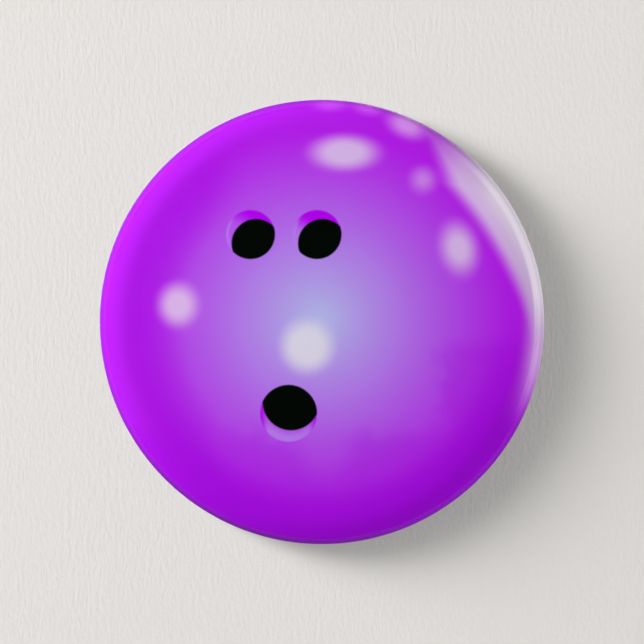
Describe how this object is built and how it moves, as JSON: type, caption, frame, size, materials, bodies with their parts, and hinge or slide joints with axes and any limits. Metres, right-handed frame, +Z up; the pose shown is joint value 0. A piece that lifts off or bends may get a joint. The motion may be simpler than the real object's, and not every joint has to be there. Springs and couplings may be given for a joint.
{
  "type": "pin-back button badge",
  "caption": "Round domed button badge with a printed paper face under clear film, crimped over a pressed steel back with a hinged spring wire pin and a lanced catch.",
  "frame": {"origin": "centre of the plane that the back's flat rim rests on, where the badge meets the cloth it is pinned to", "axes": "+Y out of the back, away from the printed face, which looks along -Y; +Z up as worn; +X to the viewer's right when the face is seen"},
  "size_m": [0.0572, 0.007, 0.0572],
  "materials": {
    "clear_film": "clear polyester film, glossy",
    "printed_paper": "purple artwork printed on coated paper, white underside",
    "shell_steel": "tinned sheet steel, satin",
    "back_steel": "tinned sheet steel, bright satin with rolling grain",
    "spring_wire": "nickel plated spring steel wire"
  },
  "bodies": {
    "badge": {"clear_film": "clear_film", "print_disc": "printed_paper", "front_shell": "shell_steel", "back_plate": "back_steel", "wire_base_leg": "spring_wire"},
    "spring_bend": {"wire_spring_bend": "spring_wire"},
    "pin": {"wire_pin_leg": "spring_wire"}
  },
  "joints": [
    {"name": "pin_squeeze", "type": "hinge", "parent": "badge", "child": "spring_bend", "pos_m": [0.0136, -0.00212, 0.0084], "axis": [0, 1, 0], "range_deg": [0, 4.5], "stiffness_Nm_per_rad": 0.3},
    {"name": "pin_lift", "type": "hinge", "parent": "spring_bend", "child": "pin", "pos_m": [0.0164, -0.00212, 0.0056], "axis": [0, 0, -1], "range_deg": [0, 40], "stiffness_Nm_per_rad": 0.3}
  ]
}
